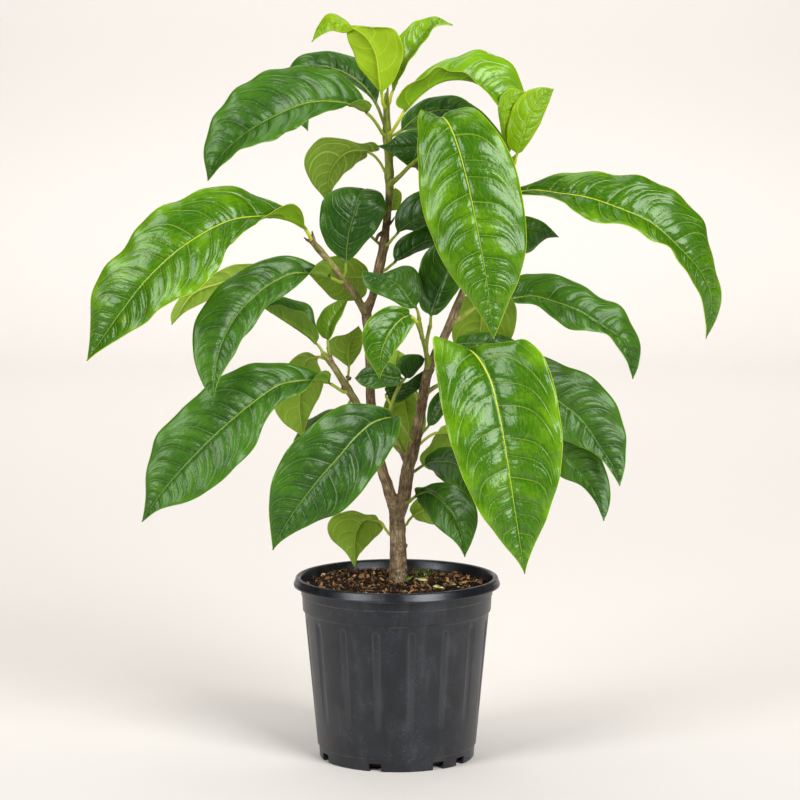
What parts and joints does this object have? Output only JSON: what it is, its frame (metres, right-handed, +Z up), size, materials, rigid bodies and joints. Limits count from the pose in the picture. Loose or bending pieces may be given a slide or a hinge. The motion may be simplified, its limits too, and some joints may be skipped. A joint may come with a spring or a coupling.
{
  "type": "potted rose apple tree",
  "caption": "Young rose apple tree with branched stems and long arching drip-tip leaves, growing in a round black nursery pot of soil.",
  "frame": {"origin": "centre of the pot's flat base, on the surface that it stands on", "axes": "+Z up along the pot's axis, -Y towards the side that the picture shows, +X to that view's right"},
  "size_m": [0.6233, 0.2628, 0.7457],
  "materials": {
    "black_plastic": "satin, lightly scuffed",
    "potting_soil": "rough and crumbly",
    "bark": "rough grey-brown bark",
    "young_leaf": "soft gloss",
    "bright_leaf": "glossy and quilted",
    "dark_leaf": "glossy and quilted",
    "pale_leaf": "matte"
  },
  "bodies": {
    "root": {"pot": "black_plastic", "soil": "potting_soil", "wood": "bark", "leaf_01": "young_leaf", "leaf_02": "bright_leaf", "leaf_03": "dark_leaf", "leaf_04": "dark_leaf", "leaf_05": "bright_leaf", "leaf_06": "young_leaf", "leaf_07": "young_leaf", "leaf_08": "bright_leaf", "leaf_09": "dark_leaf", "leaf_10": "dark_leaf", "leaf_11": "pale_leaf", "leaf_12": "dark_leaf", "leaf_13": "bright_leaf", "leaf_14": "pale_leaf", "leaf_15": "dark_leaf", "leaf_16": "pale_leaf", "leaf_17": "dark_leaf", "leaf_19": "dark_leaf", "leaf_20": "pale_leaf", "leaf_21": "pale_leaf", "leaf_22": "dark_leaf", "leaf_23": "dark_leaf", "leaf_24": "pale_leaf", "leaf_25": "dark_leaf", "leaf_26": "pale_leaf", "leaf_27": "dark_leaf", "leaf_28": "pale_leaf", "leaf_29": "dark_leaf", "leaf_30": "pale_leaf", "leaf_31": "bright_leaf", "leaf_32": "bright_leaf", "leaf_33": "dark_leaf", "leaf_34": "bright_leaf", "leaf_35": "dark_leaf", "leaf_36": "dark_leaf", "leaf_37": "pale_leaf", "leaf_38": "dark_leaf", "leaf_39": "bright_leaf", "leaf_40": "dark_leaf", "leaf_41": "dark_leaf", "leaf_42": "bright_leaf", "leaf_43": "dark_leaf", "leaf_44": "pale_leaf", "leaf_45": "dark_leaf", "leaf_46": "dark_leaf", "leaf_47": "dark_leaf", "leaf_48": "pale_leaf", "leaf_49": "dark_leaf", "leaf_50": "dark_leaf", "leaf_51": "dark_leaf", "leaf_52": "dark_leaf", "leaf_53": "dark_leaf"}
  },
  "joints": []
}
